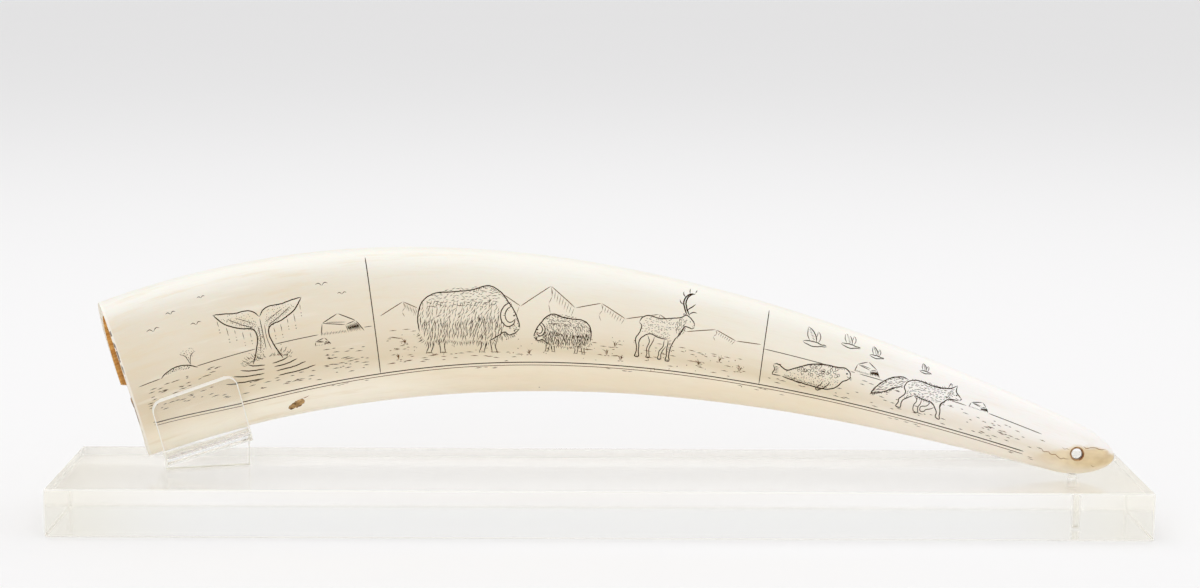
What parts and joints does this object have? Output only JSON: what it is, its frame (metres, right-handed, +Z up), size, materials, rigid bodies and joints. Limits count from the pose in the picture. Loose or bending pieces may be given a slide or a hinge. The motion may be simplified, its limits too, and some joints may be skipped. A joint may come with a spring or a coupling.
{
  "type": "incised ivory tusk",
  "caption": "Curved hollow walrus tusk with incised and inked pictures, lying on a clear acrylic stand with a bent cradle and a peg.",
  "frame": {"origin": "middle of the base block's underside", "axes": "+X along the block from the tusk's root to its tip, +Y away from the viewer, +Z up"},
  "size_m": [0.584, 0.1016, 0.1433],
  "materials": {
    "ivory": "polished ivory, cream to honey, with dark inked lines",
    "block_acrylic": "clear, polished",
    "sheet_acrylic": "clear, polished",
    "rod_acrylic": "clear, polished"
  },
  "bodies": {
    "root": {"tusk": "ivory", "base_block": "block_acrylic", "cradle": "sheet_acrylic", "cradle_foot": "sheet_acrylic", "tip_peg": "rod_acrylic"}
  },
  "joints": []
}
